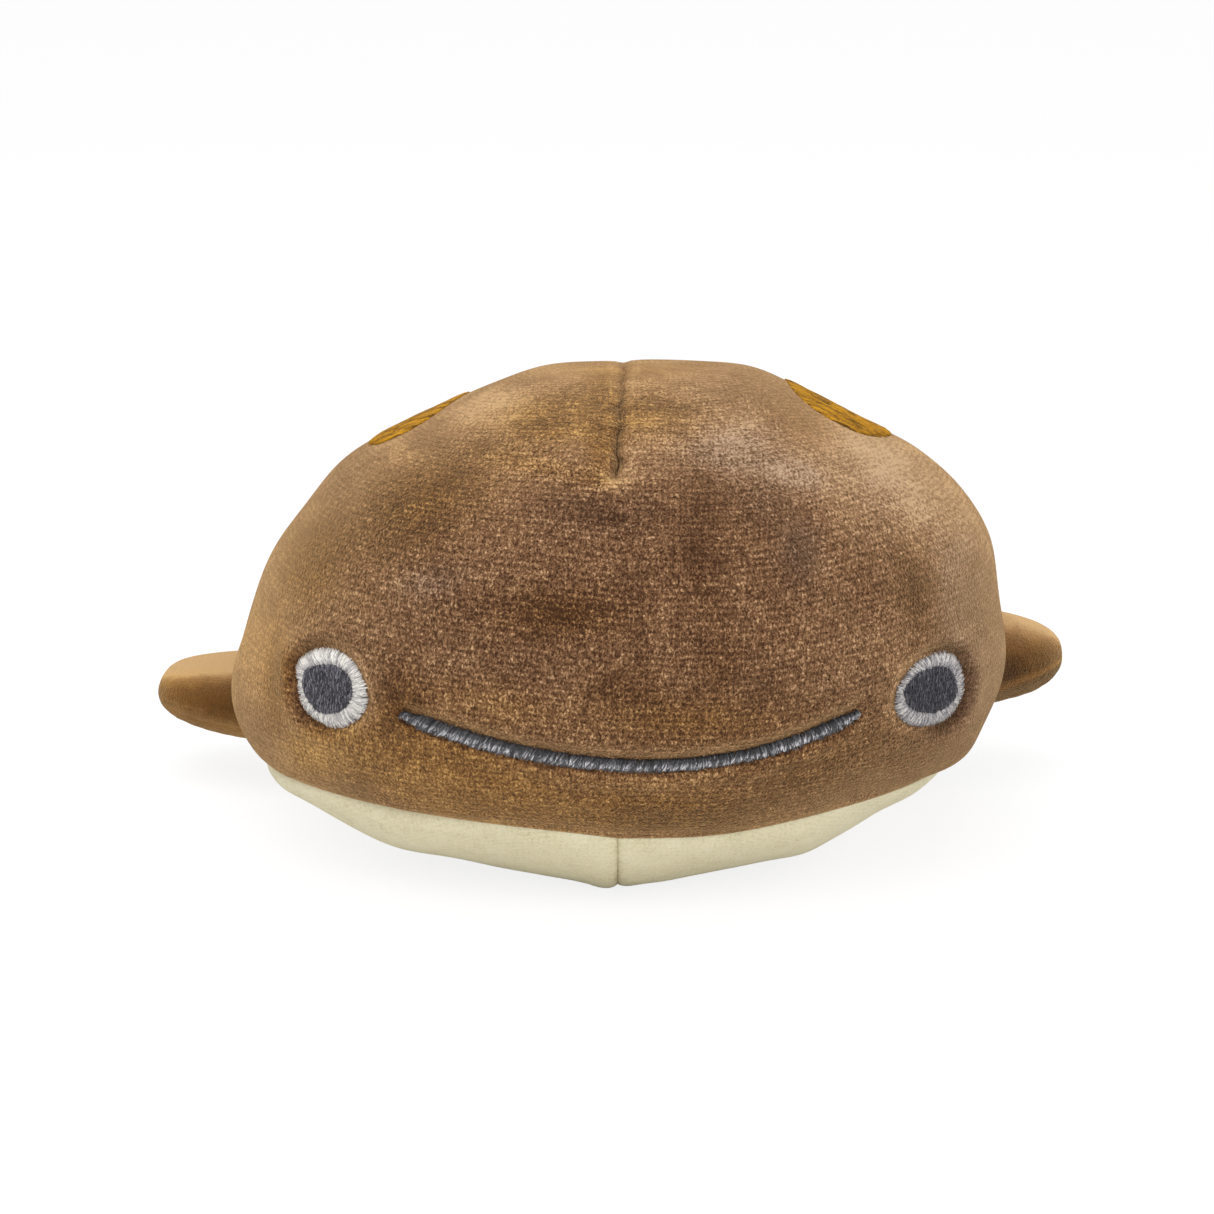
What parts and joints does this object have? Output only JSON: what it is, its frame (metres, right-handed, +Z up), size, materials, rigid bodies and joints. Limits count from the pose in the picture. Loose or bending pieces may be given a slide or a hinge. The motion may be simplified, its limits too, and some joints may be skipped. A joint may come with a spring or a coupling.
{
  "type": "plush salamander",
  "caption": "Soft stuffed salamander with a broad rounded head, tapering tail, paddle legs, brown velour back, cream belly and embroidered eyes, mouth and gold spots.",
  "frame": {"origin": "centre of the toy's footprint on the floor that it lies on", "axes": "+Z up, -Y the way the face looks, +X to the right in a view of the face"},
  "size_m": [0.1683, 0.201, 0.0869],
  "materials": {
    "brown_velour": "short-pile knitted polyester velour, mid brown, matt with a soft sheen",
    "cream_velour": "short-pile knitted polyester velour, cream",
    "stuffing_fibre": "loose white polyester fibre",
    "ring_thread": "off-white satin-stitched embroidery thread",
    "pupil_thread": "slate grey filled embroidery thread",
    "mouth_thread": "slate grey satin-stitched embroidery thread",
    "gold_thread": "golden filled embroidery thread"
  },
  "bodies": {
    "root": {"back_skin": "brown_velour", "belly_skin_left": "cream_velour", "belly_skin_right": "cream_velour", "body_stuffing": "stuffing_fibre", "front_leg_left_upper": "brown_velour", "front_leg_left_lower": "brown_velour", "front_leg_left_stuffing": "stuffing_fibre", "front_leg_right_upper": "brown_velour", "front_leg_right_lower": "brown_velour", "front_leg_right_stuffing": "stuffing_fibre", "hind_leg_left_upper": "brown_velour", "hind_leg_left_lower": "brown_velour", "hind_leg_left_stuffing": "stuffing_fibre", "hind_leg_right_upper": "brown_velour", "hind_leg_right_lower": "brown_velour", "hind_leg_right_stuffing": "stuffing_fibre", "eye_ring_left": "ring_thread", "pupil_left": "pupil_thread", "eye_ring_right": "ring_thread", "pupil_right": "pupil_thread", "mouth_stitching": "mouth_thread", "spot_right_shoulder": "gold_thread", "spot_left_shoulder": "gold_thread", "spot_right_back": "gold_thread", "spot_left_back": "gold_thread", "spot_right_rump": "gold_thread", "spot_tail": "gold_thread"}
  },
  "joints": []
}
